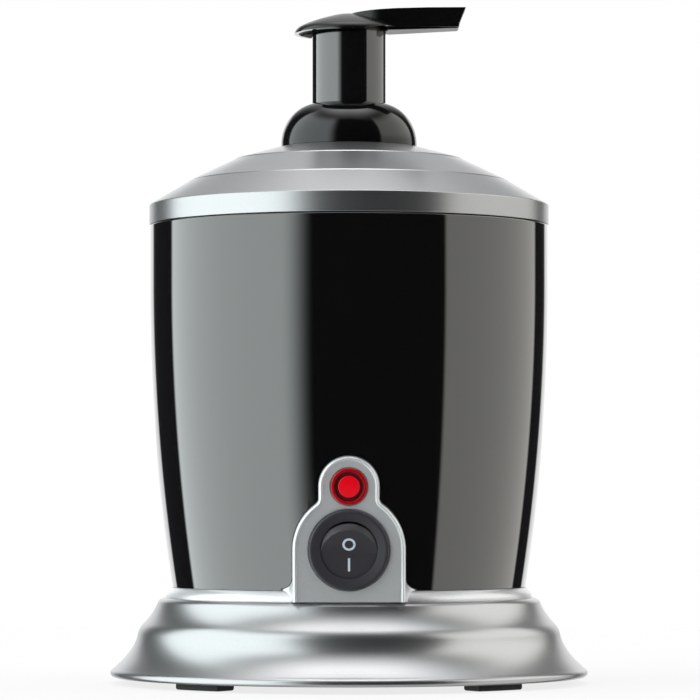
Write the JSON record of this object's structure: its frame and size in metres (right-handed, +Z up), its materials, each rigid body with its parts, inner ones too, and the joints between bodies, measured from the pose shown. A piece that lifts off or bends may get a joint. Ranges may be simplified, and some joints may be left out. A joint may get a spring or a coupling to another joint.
{
  "type": "heated lather dispenser",
  "caption": "Counter-top heated lather machine: flared silver plinth, tapered black barrel, stepped silver lid and a foam pump with a swivel spout.",
  "frame": {"origin": "centre of the machine's footprint on the table", "axes": "+Z up along the barrel's axis, -Y towards the control face, +X along the spout"},
  "size_m": [0.143, 0.143, 0.2019],
  "materials": {
    "silver_plastic": "satin silver paint",
    "black_gloss": "polished",
    "pump_black": "polished",
    "black_plastic": "fine grain",
    "switch_black": "satin",
    "mark_white": "printed",
    "lamp_red": "translucent red",
    "black_rubber": "matte",
    "grey_silicone": "matte",
    "well_aluminium": "spun",
    "zinc_steel": "zinc plated",
    "spring_steel": "drawn",
    "mica": "layered mica",
    "glass_felt": "needled felt",
    "phenolic": "moulded",
    "fuse_white": "glazed tube",
    "nylon_white": "moulded nylon",
    "brass": "stamped",
    "neon_glass": "clear tube",
    "wire_brown": "silicone sheath",
    "wire_red": "silicone sheath",
    "wire_orange": "silicone sheath",
    "wire_blue": "silicone sheath",
    "bottle_plastic": "translucent",
    "pump_white": "moulded"
  },
  "bodies": {
    "base": {"base_skirt": "silver_plastic", "base_plate": "black_plastic", "base_screws": "zinc_steel", "barrel_screws": "zinc_steel", "foot_front_left": "black_rubber", "foot_front_right": "black_rubber", "foot_rear_left": "black_rubber", "foot_rear_right": "black_rubber", "cord_gland": "black_rubber", "control_fascia": "silver_plastic", "barrel": "black_gloss", "heating_well": "well_aluminium", "well_screws": "zinc_steel", "heater_band": "mica", "heater_clamp": "zinc_steel", "clamp_screw": "zinc_steel", "insulation_sleeve": "glass_felt", "thermostat": "phenolic", "thermostat_screws": "zinc_steel", "thermal_fuse": "fuse_white", "fuse_clip": "zinc_steel", "terminal_block": "nylon_white", "terminal_screws": "zinc_steel", "block_screw": "zinc_steel", "switch_housing": "switch_black", "switch_terminals": "brass", "lamp_lens": "lamp_red", "lamp_clip": "black_plastic", "neon_lamp": "neon_glass", "lamp_plug": "black_plastic", "wire_live": "wire_brown", "wire_switched": "wire_red", "wire_fused": "wire_red", "wire_heater": "wire_orange", "wire_neutral": "wire_blue"},
    "lid_unit": {"lid": "silver_plastic", "lid_seal": "grey_silicone", "bottle": "bottle_plastic"},
    "pump_unit": {"pump_housing": "pump_white", "neck_gasket": "grey_silicone", "dip_tube": "pump_white", "pump_spring": "spring_steel"},
    "collar": {"pump_collar": "pump_black"},
    "plunger": {"air_piston": "pump_white", "liquid_piston": "grey_silicone", "piston_stem": "pump_white", "mesh_cartridge": "pump_white"},
    "head": {"pump_head": "pump_black", "spout_nozzle": "pump_black"},
    "ball": {"inlet_ball": "spring_steel"},
    "rocker": {"switch_rocker": "switch_black", "rocker_marks": "mark_white"}
  },
  "joints": [
    {"name": "lid_lift", "type": "slide", "parent": "base", "child": "lid_unit", "axis": [0, 0, 1], "range_m": [0, 0.08]},
    {"name": "pump_lift", "type": "slide", "parent": "lid_unit", "child": "pump_unit", "axis": [0, 0, 1], "range_m": [0, 0.095]},
    {"name": "collar_turn", "type": "hinge", "parent": "pump_unit", "child": "collar", "pos_m": [0, 0, 0.167], "axis": [0, 0, 1], "range_deg": [0, 540]},
    {"name": "pump_press", "type": "slide", "parent": "pump_unit", "child": "plunger", "axis": [0, 0, -1], "range_m": [0, 0.014], "stiffness_N_per_m": 300, "springref_m": -0.012, "deforming": ["pump_spring"]},
    {"name": "head_swivel", "type": "hinge", "parent": "plunger", "child": "head", "pos_m": [0, 0, 0.19], "axis": [0, 0, 1], "continuous": true},
    {"name": "ball_lift", "type": "slide", "parent": "pump_unit", "child": "ball", "axis": [0, 0, 1], "range_m": [0, 0.0012]},
    {"name": "rocker_tilt", "type": "hinge", "parent": "base", "child": "rocker", "pos_m": [0, -0.05031, 0.04082], "axis": [-1, 0, 0], "range_deg": [0, 18]}
  ]
}
